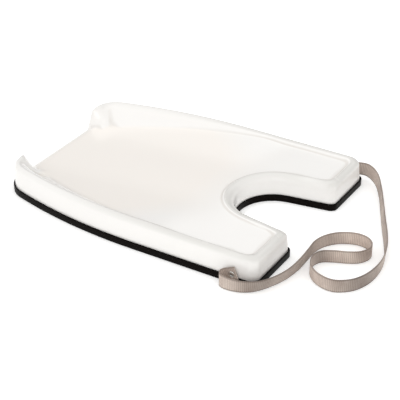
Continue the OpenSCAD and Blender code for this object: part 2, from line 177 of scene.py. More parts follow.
free = [np.array((*near_end.at(TAB_ROOT), 0))]
free += [np.array((x, y, LIE_HEIGHT + rise, lean)) for x, y, rise, lean in ROUTE]
free += [np.array((*far_end.at(TAB_ROOT), 0))]
guide = [np.array((*near_end.at(TAB_SIGHT), 0)), *free, np.array((*far_end.at(TAB_SIGHT), 0))]
near_cut = np.array((*near_end.at(-TAB_END), 0))
far_cut = np.array((*far_end.at(-TAB_END), 0))
line = [near_cut + (free[0] - near_cut) * k / CURVE_STEPS for k in range(CURVE_STEPS)]
line += [through(guide[i:i + 4], k / CURVE_STEPS) for i in range(len(free) - 1) for k in range(CURVE_STEPS)]
line += [free[-1] + (far_cut - free[-1]) * k / CURVE_STEPS for k in range(CURVE_STEPS + 1)]
line = np.array(line)
run = np.concatenate([[0], np.cumsum(np.linalg.norm(np.diff(line[:, :3], axis=0), axis=1))])
strap_length = run[-1]
ring_count = 1 + RINGS_PER_RIB * round(strap_length / RIB_PITCH)
ring_run = np.linspace(0, strap_length, ring_count)
middle = np.column_stack([np.interp(ring_run, run, line[:, k]) for k in range(3)])
lean = np.radians(np.interp(ring_run, run, line[:, 3]))
print(f"webbing {strap_length * 1000:.0f} mm long, {ring_count} rings")

# %% Which way the ribbon faces at each ring
ahead = unit(np.gradient(middle, axis=0))
level = unit(np.cross(ahead, (0, 0, 1)))
wide = np.cos(lean)[:, None] * np.cross(level, ahead) + np.sin(lean)[:, None] * level
for end, distance in ((near_end, ring_run), (far_end, strap_length - ring_run)):
    share = np.clip(1 - (distance - TAB_END - TAB_ROOT) / TAB_BLEND, 0, 1)[:, None]
    wide = wide + (np.array(end.across) - wide) * share * share * (3 - 2 * share)
wide = unit(wide - ahead * np.sum(wide * ahead, axis=1)[:, None])
thin = np.cross(ahead, wide)
print(f"ribbon leans up to {np.degrees(np.abs(lean)).max():.0f} degrees")

# %% [markdown]
# ## The webbing's section
# Narrow webbing is thickest over its weft, the yarn that runs across, so its faces are ribbed and its edges,
# the selvedges, are faintly scalloped. The ribs are real geometry here, because they catch the light along
# the whole strap. Its cut ends are sealed with a hot knife, which leaves a small bead.

# %% The ribbon's rings
FACE_COLUMNS = 6
SELVEDGE_POINTS = 3
RIB_SHARE = 0.10
SCALLOP_SHARE = 0.006
SEAL_LENGTH = 0.0012
SEAL_SHARE = 0.12

half_thick = STRAP_THICK / 2
face = np.linspace(-1, 1, FACE_COLUMNS) * (STRAP_WIDTH / 2 - half_thick)
turns = np.pi * np.arange(1, SELVEDGE_POINTS + 1) / (SELVEDGE_POINTS + 1)
selvedge = np.column_stack([np.cos(turns), np.sin(turns)]) * half_thick + (0, face[-1])
profile = np.concatenate([np.column_stack([np.full(FACE_COLUMNS, half_thick), face]), selvedge,
                          np.column_stack([np.full(FACE_COLUMNS, -half_thick), face[::-1]]), -selvedge])
rib = np.cos(2 * np.pi * ring_run / RIB_PITCH)
to_cut = np.minimum(ring_run, strap_length - ring_run)
seal = np.clip(1 - to_cut / SEAL_LENGTH, 0, 1)
thickness = 1 + RIB_SHARE * rib * (1 - seal) + SEAL_SHARE * np.sin(np.pi * seal)
width = 1 + SCALLOP_SHARE * rib
rings = (middle[:, None, :] + thin[:, None, :] * (thickness[:, None] * profile[:, 0])[:, :, None]
         + wide[:, None, :] * (width[:, None] * profile[:, 1])[:, :, None])
print(f"{len(profile)} points round the section, {rings.shape[0] * rings.shape[1]} in all")

# %% Cut the ribbon into its near end, its free run and its far end
NEAR_SEAM_POINT = 4
FAR_SEAM_POINT = 35
WEBBING_SMOOTH = math.radians(60)


def only(piece):
    """Selects one object and makes it the active one."""
    bpy.ops.object.select_all(action="DESELECT")
    piece.select_set(True)
    bpy.context.view_layer.objects.active = piece


def webbing_stretch(name, first, last):
    """The ribbon from one ring to another, closed at both, with a map of its length and width in metres."""
    rows, columns = last - first + 1, len(profile)
    index = np.arange(rows * columns).reshape(rows, columns)
    across = np.roll(index, -1, axis=1)
    quads = np.stack([index[:-1], across[:-1], across[1:], index[1:]], axis=-1).reshape(-1, 4)
    mesh = bpy.data.meshes.new(name)
    mesh.from_pydata(rings[first:last + 1].reshape(-1, 3).tolist(), [],
                     [*quads.tolist(), index[0][::-1].tolist(), index[-1].tolist()])
    corner = np.zeros(len(mesh.loops), int)
    mesh.loops.foreach_get("vertex_index", corner)
    length_map = np.column_stack([ring_run[first + corner // columns], profile[corner % columns, 1]])
    mesh.uv_layers.new(name="webbing").data.foreach_set("uv", length_map.ravel())
    piece = bpy.data.objects.new(name, mesh)
    bpy.context.scene.collection.objects.link(piece)
    only(piece)
    bpy.ops.object.mode_set(mode="EDIT")
    bpy.ops.mesh.select_all(action="SELECT")
    bpy.ops.mesh.normals_make_consistent(inside=False)
    bpy.ops.object.mode_set(mode="OBJECT")
    bpy.ops.object.shade_smooth_by_angle(angle=WEBBING_SMOOTH)
    return piece


def nearest_ring(point):
    """The ring whose middle is nearest to a point of the route."""
    return int(np.argmin(np.linalg.norm(middle[:, :2] - point[:2], axis=1)))


near_seam = nearest_ring(ROUTE[NEAR_SEAM_POINT])
far_seam = nearest_ring(ROUTE[FAR_SEAM_POINT])
near_webbing = webbing_stretch("near_webbing", 0, near_seam)
free_webbing = webbing_stretch("free_webbing", near_seam, far_seam)
far_webbing = webbing_stretch("far_webbing", far_seam, ring_count - 1)
webbing = (near_webbing, free_webbing, far_webbing)
print("stretches:", [f"{len(piece.data.polygons)} faces" for piece in webbing])

# %% [markdown]
# ## The eyes
# Each end turns on its rivet, so it has a round eye, punched through with a little room. A hole through a
# ribbed mesh is easiest to cut with a Boolean modifier and a cylinder that stands square to the wall.

# %% Punch the eyes
EYE_RADIUS = 0.00246
EYE_SIDES = 40
PUNCH_DEPTH = 8 * STRAP_THICK


def apply_modifiers(piece):
    """Applies every modifier of a piece, from the first to the last."""
    only(piece)
    for modifier in list(piece.modifiers):
        bpy.ops.object.modifier_apply(modifier=modifier.name)


for piece, end in ((near_webbing, near_end), (far_webbing, far_end)):
    bpy.ops.object.select_all(action="DESELECT")
    square = end.out.to_track_quat("Z", "Y").to_euler()
    bpy.ops.mesh.primitive_cylinder_add(vertices=EYE_SIDES, radius=EYE_RADIUS, depth=PUNCH_DEPTH,
                                        location=end.at(0), rotation=square)
    punch = bpy.context.object
    cut = piece.modifiers.new("eye", "BOOLEAN")
    cut.object = punch
    cut.solver = "EXACT"
    apply_modifiers(piece)
    bpy.data.objects.remove(punch)
    bpy.ops.object.shade_smooth_by_angle(angle=WEBBING_SMOOTH)
print("eyes punched,", len(near_webbing.data.polygons), "faces at the near end")

# %% [markdown]
# ## The webbing's finish
# Each finish below starts from the real material and is built from a few nodes. Colours are written as on a
# screen, so one function makes them linear, and one function adds a node with its settings and links.


# %% Helpers for the finishes
def linear(hex_colour):
    """A colour written as six hex digits, as the linear colour that a shader takes."""
    parts = [int(hex_colour[k:k + 2], 16) / 255 for k in (0, 2, 4)]
    return (*[p / 12.92 if p <= 0.04045 else ((p + 0.055) / 1.055) ** 2.4 for p in parts], 1)


def add_node(tree, kind, inputs=None, **settings):
    """Adds a node with its settings; each input is a value, or the output of another node."""
    node = tree.nodes.new(kind)
    for name, value in settings.items():
        setattr(node, name, value)
    for name, value in (inputs or {}).items():
        if isinstance(value, bpy.types.NodeSocket):
            tree.links.new(value, node.inputs[name])
        else:
            node.inputs[name].default_value = value
    return node


def start_finish(name):
    """A new material with an empty node tree."""
    finish = bpy.data.materials.new(name)
    finish.use_nodes = True
    finish.node_tree.nodes.clear()
    return finish, finish.node_tree


def end_finish(tree, inputs):
    """Adds the shader with its inputs, and the output."""
    shader = add_node(tree, "ShaderNodeBsdfPrincipled", inputs)
    add_node(tree, "ShaderNodeOutputMaterial", {"Surface": shader.outputs[0]})


MIX_A, MIX_B, MIX_OUT = 6, 7, 2
NOISE_SPAN = {"From Min": 0.3, "From Max": 0.7}
print("finish helpers ready")

# %% [markdown]
# The strap is woven from spun-dyed polypropylene yarn. Warp yarns run along it and pass over and under the
# weft, every second one a rib later, so close up it looks like small bricks. From a step away it is a matt
# taupe, with painted highlights on the crowns of the yarn and painted shade between them, and it is darker
# along each selvedge. Some stretches along its length are painted lighter and others darker, as painted
# light and painted shade.
# A real rib is about 2 mm. The ribs here are a little coarser, so that they still show in a small picture.

# %% Woven polypropylene
WARP_PITCH = 0.0011
FADE_SIZE = 0.035
FADE_SPAN = (0.35, 0.65)
OVER_WEIGHT = 0.3
RIB_WEIGHT = 0.35
WEAVE_SPAN = OVER_WEIGHT + RIB_WEIGHT
WEAVE_DEPTH = 0.0003
SELVEDGE_WIDTH = 0.0014
SELVEDGE_SHARE = 0.5

# Stretches painted lighter or darker, as painted light and shade: the middle and half length of each
# in metres, and how much lighter it is
PAINTED_LIGHT_STRETCHES = [(0.035, 0.03, 0.16), (0.322, 0.05, 0.36), (0.408, 0.035, 0.24), (0.503, 0.04, 0.28),
            (0.897, 0.04, 0.34)]
PAINTED_SHADE_STRETCHES = [(0.100, 0.05, -0.32), (0.150, 0.05, -0.14), (0.441, 0.022, -0.26), (0.575, 0.055, -0.36),
          (0.610, 0.03, -0.16)]


def woven_polypropylene():
    """Matt ribbed webbing, painted lighter on the yarn crowns and darker in the gaps, as light and shade."""
    finish, tree = start_finish("woven_polypropylene")
    place = add_node(tree, "ShaderNodeUVMap", uv_map="webbing")
    axes = add_node(tree, "ShaderNodeSeparateXYZ", {0: place.outputs[0]})
    yarn = add_node(tree, "ShaderNodeMath", {0: axes.outputs[1], 1: 1 / WARP_PITCH}, operation="MULTIPLY")
    column = add_node(tree, "ShaderNodeMath", {0: yarn.outputs[0]}, operation="FLOOR")
    ribs = add_node(tree, "ShaderNodeMath", {0: axes.outputs[0], 1: 2 * math.pi / RIB_PITCH},
                    operation="MULTIPLY")
    phase = add_node(tree, "ShaderNodeMath", {0: column.outputs[0], 1: math.pi, 2: ribs.outputs[0]},
                     operation="MULTIPLY_ADD")
    over = add_node(tree, "ShaderNodeMath", {0: phase.outputs[0]}, operation="COSINE")
    turn = add_node(tree, "ShaderNodeMath", {0: yarn.outputs[0], 1: math.pi}, operation="MULTIPLY")
    side = add_node(tree, "ShaderNodeMath", {0: turn.outputs[0]}, operation="SINE")
    crown = add_node(tree, "ShaderNodeMath", {0: side.outputs[0]}, operation="ABSOLUTE")
    raised = add_node(tree, "ShaderNodeMath", {0: over.outputs[0], 1: OVER_WEIGHT, 2: crown.outputs[0]},
                      operation="MULTIPLY_ADD")
    crest = add_node(tree, "ShaderNodeMath", {0: ribs.outputs[0]}, operation="COSINE")
    ribbed = add_node(tree, "ShaderNodeMath", {0: crest.outputs[0], 1: RIB_WEIGHT, 2: raised.outputs[0]},
                      operation="MULTIPLY_ADD")
    weave = add_node(tree, "ShaderNodeMapRange", {"Value": ribbed.outputs[0], "From Min": -WEAVE_SPAN,
                                                  "From Max": 1 + WEAVE_SPAN})
    middle_off = add_node(tree, "ShaderNodeMath", {0: axes.outputs[1]}, operation="ABSOLUTE")
    edge = add_node(tree, "ShaderNodeMapRange",
                    {"Value": middle_off.outputs[0], "From Min": STRAP_WIDTH / 2 - 2 * SELVEDGE_WIDTH,
                     "From Max": STRAP_WIDTH / 2 - SELVEDGE_WIDTH, "To Max": SELVEDGE_SHARE})
    fade = add_node(tree, "ShaderNodeTexNoise", {"Vector": place.outputs[0], "Scale": 1 / FADE_SIZE,
                                                 "Detail": 3})
    # Painted highlights on the yarn crowns and painted shade in the gaps between them, following the weave.
    weave_light_and_shade = add_node(tree, "ShaderNodeMix", {0: weave.outputs[0], MIX_A: linear("7D6F67"),
                                            MIX_B: linear("ECE0D8")}, data_type="RGBA")
    patchy = add_node(tree, "ShaderNodeMapRange", {"Value": fade.outputs[0], "From Min": FADE_SPAN[0],
                                                   "From Max": FADE_SPAN[1]})
    worn = add_node(tree, "ShaderNodeMix", {0: patchy.outputs[0], MIX_A: linear("DDD6D1"),
                                            MIX_B: linear("FFFCF8")}, data_type="RGBA")
    faded = add_node(tree, "ShaderNodeMix", {0: 1.0, MIX_A: weave_light_and_shade.outputs[MIX_OUT],
                                             MIX_B: worn.outputs[MIX_OUT]},
                     data_type="RGBA", blend_type="MULTIPLY")
    colour = add_node(tree, "ShaderNodeMix", {0: edge.outputs[0], MIX_A: faded.outputs[MIX_OUT],
                                              MIX_B: linear("5E5149")}, data_type="RGBA")
    # Painted light and painted shade along the strap: some stretches are made lighter, others darker.
    painted_light_and_shade = 1.0
    for centre, half_length, share in PAINTED_LIGHT_STRETCHES + PAINTED_SHADE_STRETCHES:
        off = add_node(tree, "ShaderNodeMath", {0: axes.outputs[0], 1: centre}, operation="SUBTRACT")
        apart = add_node(tree, "ShaderNodeMath", {0: off.outputs[0]}, operation="ABSOLUTE")
        stretch = add_node(tree, "ShaderNodeMapRange",
                           {"Value": apart.outputs[0], "From Max": half_length, "To Min": share,
                            "To Max": 0.0}, interpolation_type="SMOOTHSTEP")
        painted_light_and_shade = add_node(tree, "ShaderNodeMath", {0: stretch.outputs[0], 1: painted_light_and_shade}, operation="ADD").outputs[0]
    strap_colour_with_painted_light = add_node(tree, "ShaderNodeVectorMath", {0: colour.outputs[MIX_OUT], "Scale": painted_light_and_shade},
                    operation="SCALE")
    bump = add_node(tree, "ShaderNodeBump", {"Height": weave.outputs[0], "Strength": 0.45,
                                             "Distance": WEAVE_DEPTH})
    end_finish(tree, {"Base Color": strap_colour_with_painted_light.outputs[0], "Roughness": 0.82, "IOR": 1.49,
                      "Specular IOR Level": 0.3, "Sheen Weight": 0.15, "Sheen Roughness": 0.5,
                      "Normal": bump.outputs[0]})
    return finish


webbing_finish = woven_polypropylene()
for piece in webbing:
    piece.data.materials.clear()
    piece.data.materials.append(webbing_finish)
print("webbing finish:", len(webbing_finish.node_tree.nodes), "nodes")

# %% [markdown]
# ## The formed tray
# A thermoformed sheet has no sharp corner: it is stretched over a mould, and every bend is a soft curve.
# The frame's tray is exact but faceted. A merged copy of it, with its triangles paired into four-sided
# faces, takes a subdivision surface well, and only its trimmed edge and its rivet holes are kept crisp.

# %% A merged copy of a frame node
MERGE_DISTANCE = 0.000005


def merged_copy(node, name):
    """A copy of a node's mesh with its loose triangles joined, as an object of its own."""
    piece = bpy.data.objects.new(name, nodes[node].data.copy())
    bpy.context.scene.collection.objects.link(piece)
    piece.data.materials.clear()
    only(piece)
    bpy.ops.object.mode_set(mode="EDIT")
    bpy.ops.mesh.select_all(action="SELECT")
    bpy.ops.mesh.remove_doubles(threshold=MERGE_DISTANCE)
    bpy.ops.object.mode_set(mode="OBJECT")
    return piece


# %% Smooth the tray
CRISP_ANGLE = math.radians(48)
PAIR_ANGLE = math.radians(40)
ANY_SHAPE = math.radians(180)
CRISP_CREASE = 0.8

formed_tray = merged_copy("tray_shell", "formed_tray")
bpy.ops.object.mode_set(mode="EDIT")
bpy.ops.mesh.select_all(action="SELECT")
bpy.ops.mesh.tris_convert_to_quads(face_threshold=PAIR_ANGLE, shape_threshold=ANY_SHAPE)
bpy.ops.mesh.select_mode(type="EDGE")
bpy.ops.mesh.select_all(action="DESELECT")
bpy.ops.mesh.edges_select_sharp(sharpness=CRISP_ANGLE)
bpy.ops.transform.edge_crease(value=CRISP_CREASE)
bpy.ops.object.mode_set(mode="OBJECT")
smooth = formed_tray.modifiers.new("soft bends", "SUBSURF")
smooth.levels = smooth.render_levels = 1
apply_modifiers(formed_tray)
print("formed tray:", len(formed_tray.data.polygons), "faces")

# %% Ease the corners inside the two ears, where hot sheet bridges rather than creases
EAR_CORNERS = [Vector((-0.224, side * 0.098, 0.025)) for side in (-1, 1)]
EASE_REACH = 0.026
EASE_ROUNDS = 40
EASE_FACTOR = 0.5

eased = formed_tray.vertex_groups.new(name="ear_corners")
for vertex in formed_tray.data.vertices:
    reach = min((vertex.co - corner).length for corner in EAR_CORNERS) / EASE_REACH
    if reach < 1 and vertex.normal.z > 0:
        eased.add([vertex.index], 1 - reach ** 2, "REPLACE")
ease = formed_tray.modifiers.new("eased corners", "SMOOTH")
ease.vertex_group = eased.name
ease.factor = EASE_FACTOR
ease.iterations = EASE_ROUNDS
apply_modifiers(formed_tray)
bpy.ops.object.shade_smooth_by_angle(angle=CRISP_ANGLE)
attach(formed_tray, "tray")
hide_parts("tray_shell")
print("ears eased within", EASE_REACH * 1000, "mm of their corners")

# %% [markdown]
# The crowns of the rims are painted grey, as painted shade, and their gloss is dulled, and the foot of every
# bend is painted darker, as painted shade. Both follow the shape, so they can be measured from it: where the
# points round a vertex lie below its surface it is on a crown, and where they lie above it is in a hollow.
# The measure is spread a little and kept as an attribute, which the finish reads. A second attribute keeps
# how far each point faces up, which the painted shade on the crowns and the warmer basin floor follow.

# %% Measure crowns and hollows
CROWN_RADIUS = 0.012
SPREAD_STEPS = 6
SPREAD_SHARE = 0.5
CLEAR_BEND = 0.3


def measure_bends(piece):
    """Keeps bend, 1 on crowns, -1 in hollows and 0 on flats, and facing, 1 where a surface faces up."""
    mesh = piece.data
    count = len(mesh.vertices)
    place = np.zeros(count * 3)
    mesh.vertices.foreach_get("co", place)
    normal = np.zeros(count * 3)
    mesh.vertex_normals.foreach_get("vector", normal)
    place, normal = place.reshape(-1, 3), normal.reshape(-1, 3)
    ends = np.zeros(len(mesh.edges) * 2, int)
    mesh.edges.foreach_get("vertices", ends)
    ends = ends.reshape(-1, 2)
    here, there = np.concatenate([ends, ends[:, ::-1]]).T
    away = place[here] - place[there]
    fall = 2 * np.sum(normal[here] * away, axis=1) / np.sum(away * away, axis=1)
    links = np.bincount(here, minlength=count)
    bend = np.clip(np.bincount(here, fall, count) / links * CROWN_RADIUS, -1, 1)
    for _ in range(SPREAD_STEPS):
        around = np.bincount(here, bend[there], count) / links
        bend = (1 - SPREAD_SHARE) * bend + SPREAD_SHARE * around
    mesh.attributes.new("bend", "FLOAT", "POINT").data.foreach_set("value", bend)
    mesh.attributes.new("facing", "FLOAT", "POINT").data.foreach_set("value", normal[:, 2].copy())
    return bend


tray_bends = measure_bends(formed_tray)
on_crowns = np.mean(tray_bends > CLEAR_BEND)
in_hollows = np.mean(tray_bends < -CLEAR_BEND)
print(f"{on_crowns:.0%} of points on crowns, {in_hollows:.0%} in hollows")

# %% [markdown]
# The sheet is white ABS, glossy where it was drawn over the mould. It mirrors the room softly on its slopes,
# and shows a faint orange peel and slight changes of gloss where hands and cloths have rubbed it. The crowns
# of the rims are painted grey as painted shade, most towards the shoulders, and their gloss is a little
# duller; the foot of every bend is painted darker as painted shade. The floor of the basin is tinted a shade
# warmer than the rest.

# %% Formed ABS
MOTTLE_SIZE = 0.11
PEEL_SIZE = 0.0026
PEEL_DEPTH = 0.00005
GLOSS_SIZE = 0.03
GLOSS_ROUGHNESS = (0.14, 0.2)
CROWN_SHADE_GLOSS_SHARES = (0.3, 0.75)
CROWN_SHADE_GLOSS_PLACES = (-0.12, 0.12)
CROWN_SHADE_GLOSS_BENDS = (0.06, 0.55)
CROWN_SHADE_GLOSS_FACING = (0.0, 0.85)
CROWN_DULLING = 0.12
HOLLOW_SHADE_SHARE = 0.45
HOLLOW_SHADE_BENDS = (-0.2, -0.65)
WARM_FLOOR_SHARE = 0.8
WARM_FLOOR_HEIGHTS = (0.0412, 0.036)
WARM_FLOOR_FACING = (0.9, 0.99)


def formed_abs():
    """Glossy white sheet with a faint orange peel, painted shade on the crowns and in the hollows, and a
    warmer basin floor.
    """
    finish, tree = start_finish("formed_abs")
    place = add_node(tree, "ShaderNodeTexCoord").outputs["Object"]
    along, _, height = add_node(tree, "ShaderNodeSeparateXYZ", {0: place}).outputs
    facing = add_node(tree, "ShaderNodeAttribute", attribute_name="facing").outputs["Fac"]
    bend = add_node(tree, "ShaderNodeAttribute", attribute_name="bend").outputs["Fac"]
    mottle = add_node(tree, "ShaderNodeTexNoise", {"Vector": place, "Scale": 1 / MOTTLE_SIZE, "Detail": 2})
    clean = add_node(tree, "ShaderNodeMix", {0: mottle.outputs[0], MIX_A: linear("F5F3F0"),
                                             MIX_B: linear("F8F6F3")}, data_type="RGBA")
    # The floor of the basin is tinted a shade warmer than the rest.
    low = add_node(tree, "ShaderNodeMapRange", {"Value": height, "From Min": WARM_FLOOR_HEIGHTS[0],
                                                "From Max": WARM_FLOOR_HEIGHTS[1], "To Max": WARM_FLOOR_SHARE})
    flat = add_node(tree, "ShaderNodeMapRange", {"Value": facing, "From Min": WARM_FLOOR_FACING[0],
                                                 "From Max": WARM_FLOOR_FACING[1]})
    warm_floor_mask = add_node(tree, "ShaderNodeMath", {0: low.outputs[0], 1: flat.outputs[0]}, operation="MULTIPLY")
    warmed_colour = add_node(tree, "ShaderNodeMix", {0: warm_floor_mask.outputs[0], MIX_A: clean.outputs[MIX_OUT],
                                               MIX_B: linear("F9F3EC")}, data_type="RGBA")
    shoulder_share = add_node(tree, "ShaderNodeMapRange", {"Value": along, "From Min": CROWN_SHADE_GLOSS_PLACES[0],
                                                 "From Max": CROWN_SHADE_GLOSS_PLACES[1], "To Min": CROWN_SHADE_GLOSS_SHARES[0],
                                                 "To Max": CROWN_SHADE_GLOSS_SHARES[1]})
    bulge = add_node(tree, "ShaderNodeMapRange", {"Value": bend, "From Min": CROWN_SHADE_GLOSS_BENDS[0],
                                                  "From Max": CROWN_SHADE_GLOSS_BENDS[1], "To Max": shoulder_share.outputs[0]})
    upward = add_node(tree, "ShaderNodeMapRange", {"Value": facing, "From Min": CROWN_SHADE_GLOSS_FACING[0],
                                                   "From Max": CROWN_SHADE_GLOSS_FACING[1]})
    crown = add_node(tree, "ShaderNodeMath", {0: bulge.outputs[0], 1: upward.outputs[0]},
                     operation="MULTIPLY")
    # Painted shade: the crowns of the rims are made grey, most towards the shoulders.
    crown_painted_shade = add_node(tree, "ShaderNodeMix", {0: crown.outputs[0], MIX_A: warmed_colour.outputs[MIX_OUT],
                                              MIX_B: linear("D6D4CF")}, data_type="RGBA")
    # Painted shade: the foot of every bend is made darker.
    hollow_shade = add_node(tree, "ShaderNodeMapRange", {"Value": bend, "From Min": HOLLOW_SHADE_BENDS[0],
                                                   "From Max": HOLLOW_SHADE_BENDS[1], "To Max": HOLLOW_SHADE_SHARE})
    colour = add_node(tree, "ShaderNodeMix", {0: hollow_shade.outputs[0], MIX_A: crown_painted_shade.outputs[MIX_OUT],
                                              MIX_B: linear("CFC8BF")}, data_type="RGBA")
    wiped = add_node(tree, "ShaderNodeTexNoise", {"Vector": place, "Scale": 1 / GLOSS_SIZE, "Detail": 6,
                                                  "Roughness": 0.62})
    gloss = add_node(tree, "ShaderNodeMapRange", {"Value": wiped.outputs[0], **NOISE_SPAN,
                                                  "To Min": GLOSS_ROUGHNESS[0],
                                                  "To Max": GLOSS_ROUGHNESS[1]})
    dulled = add_node(tree, "ShaderNodeMath", {0: crown.outputs[0], 1: CROWN_DULLING, 2: gloss.outputs[0]},
                      operation="MULTIPLY_ADD")
    peel = add_node(tree, "ShaderNodeTexNoise", {"Vector": place, "Scale": 1 / PEEL_SIZE, "Detail": 1})
    bump = add_node(tree, "ShaderNodeBump", {"Height": peel.outputs[0], "Strength": 0.2,
                                             "Distance": PEEL_DEPTH})
    end_finish(tree, {"Base Color": colour.outputs[MIX_OUT], "Roughness": dulled.outputs[0], "IOR": 1.53,
                      "Normal": bump.outputs[0]})
    return finish


formed_tray.data.materials.append(formed_abs())
print("tray finish: orange peel of", PEEL_SIZE * 1000, "mm")

# %% [markdown]
# ## The edging
# The edging is an extruded U of soft black plastic, pushed over the sheet's lower edge. An extrusion has
# slightly rounded corners, so a merged copy gets a small bevel on every sharp edge.

# %% Round the edging's corners
EDGE_ROUND = 0.0003
EDGE_LIMIT = math.radians(35)
EDGE_SMOOTH = math.radians(40)

edging = merged_copy("edge_trim", "push_on_edging")
rounding = edging.modifiers.new("rounded corners", "BEVEL")
rounding.width = EDGE_ROUND
rounding.segments = 2
rounding.limit_method = "ANGLE"
rounding.angle_limit = EDGE_LIMIT
apply_modifiers(edging)
bpy.ops.object.shade_smooth_by_angle(angle=EDGE_SMOOTH)
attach(edging, "tray")
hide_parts("edge_trim")
print("edging:", len(edging.data.polygons), "faces")

# %% [markdown]
# The edging is soft PVC. It is satin black, with fine lines along it from the die, and upright faces show
# a little brown where light grazes them.

# %% Extruded PVC
DIE_LINE = 0.0009
DIE_DEPTH = 0.00005
SCUFF_SIZE = 0.012
SCUFF_ROUGHNESS = (0.36, 0.48)


def extruded_pvc():
    """Satin black edging with die lines along its length and faint scuffs."""
    finish, tree = start_finish("extruded_pvc")
    place = add_node(tree, "ShaderNodeTexCoord").outputs["Object"]
    height = add_node(tree, "ShaderNodeSeparateXYZ", {0: place}).outputs[2]
    lines = add_node(tree, "ShaderNodeMath", {0: height, 1: 2 * math.pi / DIE_LINE}, operation="MULTIPLY")
    wave = add_node(tree, "ShaderNodeMath", {0: lines.outputs[0]}, operation="SINE")
    scuff = add_node(tree, "ShaderNodeTexNoise", {"Vector": place, "Scale": 1 / SCUFF_SIZE, "Detail": 5,
                                                  "Roughness": 0.6})
    colour = add_node(tree, "ShaderNodeMix", {0: scuff.outputs[0], MIX_A: linear("040303"),
                                              MIX_B: linear("0B0908")}, data_type="RGBA")
    gloss = add_node(tree, "ShaderNodeMapRange", {"Value": scuff.outputs[0], **NOISE_SPAN,
                                                  "To Min": SCUFF_ROUGHNESS[0],
                                                  "To Max": SCUFF_ROUGHNESS[1]})
    bump = add_node(tree, "ShaderNodeBump", {"Height": wave.outputs[0], "Strength": 0.15,
                                             "Distance": DIE_DEPTH})
    end_finish(tree, {"Base Color": colour.outputs[MIX_OUT], "Roughness": gloss.outputs[0], "IOR": 1.53,
                      "Specular IOR Level": 0.05, "Specular Tint": linear("FFE6DC"),
                      "Normal": bump.outputs[0]})
    return finish


edging.data.materials.append(extruded_pvc())
print("edging finish: die lines every", DIE_LINE * 1000, "mm")

# %% [markdown]
# ## The rivets
# A blind rivet is a hollow aluminium body with a steel pin through it. Pulling the pin swells the tail
# behind the wall, and then the pin snaps inside the domed head, which leaves a dark hollow in its middle. A
# nylon spacer stands the webbing off the wall and a washer backs the tail. All four are round, so each is a
# circle extruded from point to point of its profile, as on a lathe, and then set on its rivet's line.

# %% Turned parts
TURNED_SIDES = 48
TURNED_MERGE = 0.000001
TURNED_SMOOTH = math.radians(35)


def sizes_along(node, end):
    """Lowest and highest point of a node along its rivet's line, and its radius about that line."""
    points = np.array([vertex.co for vertex in nodes[node].data.vertices]) - end.rivet
    heights = points @ np.array(end.out)
    return heights.min(), heights.max(), np.linalg.norm(points - np.outer(heights, end.out), axis=1).max()


def turned(name, profile, end, solid=False):
    """A round part on a rivet's line: a circle, extruded through the profile's radii and heights."""
    bpy.ops.object.select_all(action="DESELECT")
    bpy.ops.mesh.primitive_circle_add(vertices=TURNED_SIDES, radius=profile[0][0])
    piece = bpy.context.object
    piece.name = piece.data.name = name
    bpy.ops.object.mode_set(mode="EDIT")
    bpy.ops.mesh.select_all(action="SELECT")
    bpy.ops.transform.translate(value=(0, 0, profile[0][1]))
    if solid:
        bpy.ops.mesh.edge_face_add()
    stops = profile if solid else [*profile, profile[0]]
    for (radius, height), (next_radius, next_height) in zip(stops, stops[1:]):
        bpy.ops.mesh.extrude_region_move(TRANSFORM_OT_translate={"value": (0, 0, next_height - height)})
        grow = next_radius / radius
        bpy.ops.transform.resize(value=(grow, grow, 1), center_override=(0, 0, 0))
    bpy.ops.mesh.select_all(action="SELECT")
    bpy.ops.mesh.remove_doubles(threshold=TURNED_MERGE)
    bpy.ops.mesh.normals_make_consistent(inside=False)
    bpy.ops.object.mode_set(mode="OBJECT")
    piece.matrix_world = Matrix.Translation(end.rivet) @ end.out.to_track_quat("Z", "Y").to_matrix().to_4x4()
    bpy.ops.object.transform_apply(location=True, rotation=True, scale=True)
    bpy.ops.object.shade_smooth_by_angle(angle=TURNED_SMOOTH)
    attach(piece, "tray")
    return piece


def ring_profile(inner, outer, low, high, break_edge):
    """Profile of a plain ring whose outer corners are broken."""
    return [(inner, low), (outer - break_edge, low), (outer, low + break_edge), (outer, high - break_edge),
            (outer - break_edge, high), (inner, high)]


print("lathe ready,", TURNED_SIDES, "sides")

# %% [markdown]
# Drawn aluminium is pale and dull with a soft sheen. The pin is steel with a thin bright zinc coat, rough
# where it snapped. Nylon is milky and slightly waxy.

# %% Metals and nylon
GRAIN_SIZE = 0.0007
GRAIN_DEPTH = 0.00003


def fine_grain(name, dark, light, rough_low, rough_high, inputs):
    """A finish whose colour and gloss vary over a fine grain."""
    finish, tree = start_finish(name)
    place = add_node(tree, "ShaderNodeTexCoord").outputs["Object"]
    grain = add_node(tree, "ShaderNodeTexNoise", {"Vector": place, "Scale": 1 / GRAIN_SIZE, "Detail": 4})
    colour = add_node(tree, "ShaderNodeMix", {0: grain.outputs[0], MIX_A: linear(dark),
                                              MIX_B: linear(light)}, data_type="RGBA")
    gloss = add_node(tree, "ShaderNodeMapRange", {"Value": grain.outputs[0], **NOISE_SPAN,
                                                  "To Min": rough_low, "To Max": rough_high})
    bump = add_node(tree, "ShaderNodeBump", {"Height": grain.outputs[0], "Strength": 0.2,
                                             "Distance": GRAIN_DEPTH})
    end_finish(tree, {"Base Color": colour.outputs[MIX_OUT], "Roughness": gloss.outputs[0],
                      "Normal": bump.outputs[0], **inputs})
    return finish


aluminium = fine_grain("drawn_aluminium", "C9C7C2", "DEDCD8", 0.28, 0.42, {"Metallic": 1.0})
zinc_steel = fine_grain("zinc_plated_steel", "5F5D5A", "8C8A86", 0.4, 0.6, {"Metallic": 1.0})
nylon = fine_grain("moulded_nylon", "DDD8CB", "E8E4DA", 0.42, 0.55, {"IOR": 1.53})
print("metals and nylon ready")

